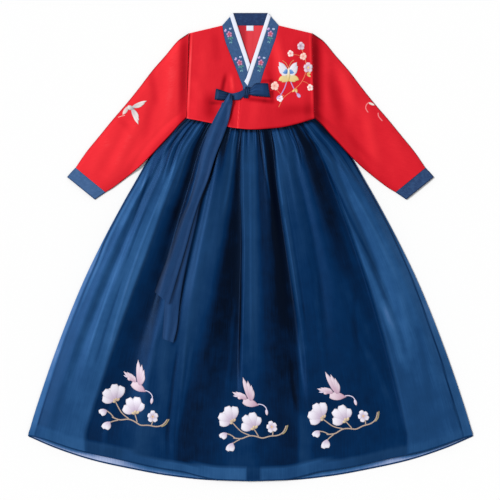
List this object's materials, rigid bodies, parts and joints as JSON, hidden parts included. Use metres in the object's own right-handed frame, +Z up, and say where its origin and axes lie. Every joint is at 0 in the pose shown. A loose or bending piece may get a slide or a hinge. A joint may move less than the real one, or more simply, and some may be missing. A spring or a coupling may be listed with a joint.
{
  "type": "korean hanbok",
  "caption": "Child's Korean hanbok laid flat on its back: short jacket with a crossed collar, white collar strip and tied ribbon, over a full gathered organza skirt.",
  "frame": {"origin": "on the surface that the garment lies on, under the middle of its outline", "axes": "+Z up out of the surface, +Y from the skirt's hem to the collar, +X to the wearer's left"},
  "size_m": [1.112, 1.17, 0.0222],
  "materials": {
    "organza": "sheer navy organza with a soft sheen",
    "skirt_lining": "matt dark navy lining",
    "red_cloth": "smooth red satin-backed cloth with a faint sheen",
    "collar_cloth": "matt dusty navy cotton",
    "white_cloth": "crisp white cotton",
    "ribbon": "navy ribbon cloth with a soft sheen"
  },
  "bodies": {
    "root": {"skirt_front": "organza", "skirt_back": "organza", "skirt_lining_front": "skirt_lining", "skirt_lining_back": "skirt_lining", "skirt_waistband": "skirt_lining", "jacket_back": "red_cloth", "jacket_front_right": "red_cloth", "jacket_front_left": "red_cloth", "sleeve_right": "red_cloth", "sleeve_left": "red_cloth", "cuff_right": "collar_cloth", "cuff_left": "collar_cloth", "collar_right": "collar_cloth", "collar_left": "collar_cloth", "collar_back": "collar_cloth", "dongjeong_right": "white_cloth", "dongjeong_left": "white_cloth", "neck_label": "white_cloth", "goreum_knot": "ribbon", "goreum_band": "ribbon", "goreum_loop_left": "ribbon", "goreum_loop_right": "ribbon", "goreum_tail_short": "ribbon", "goreum_tail_long": "ribbon"}
  },
  "joints": []
}
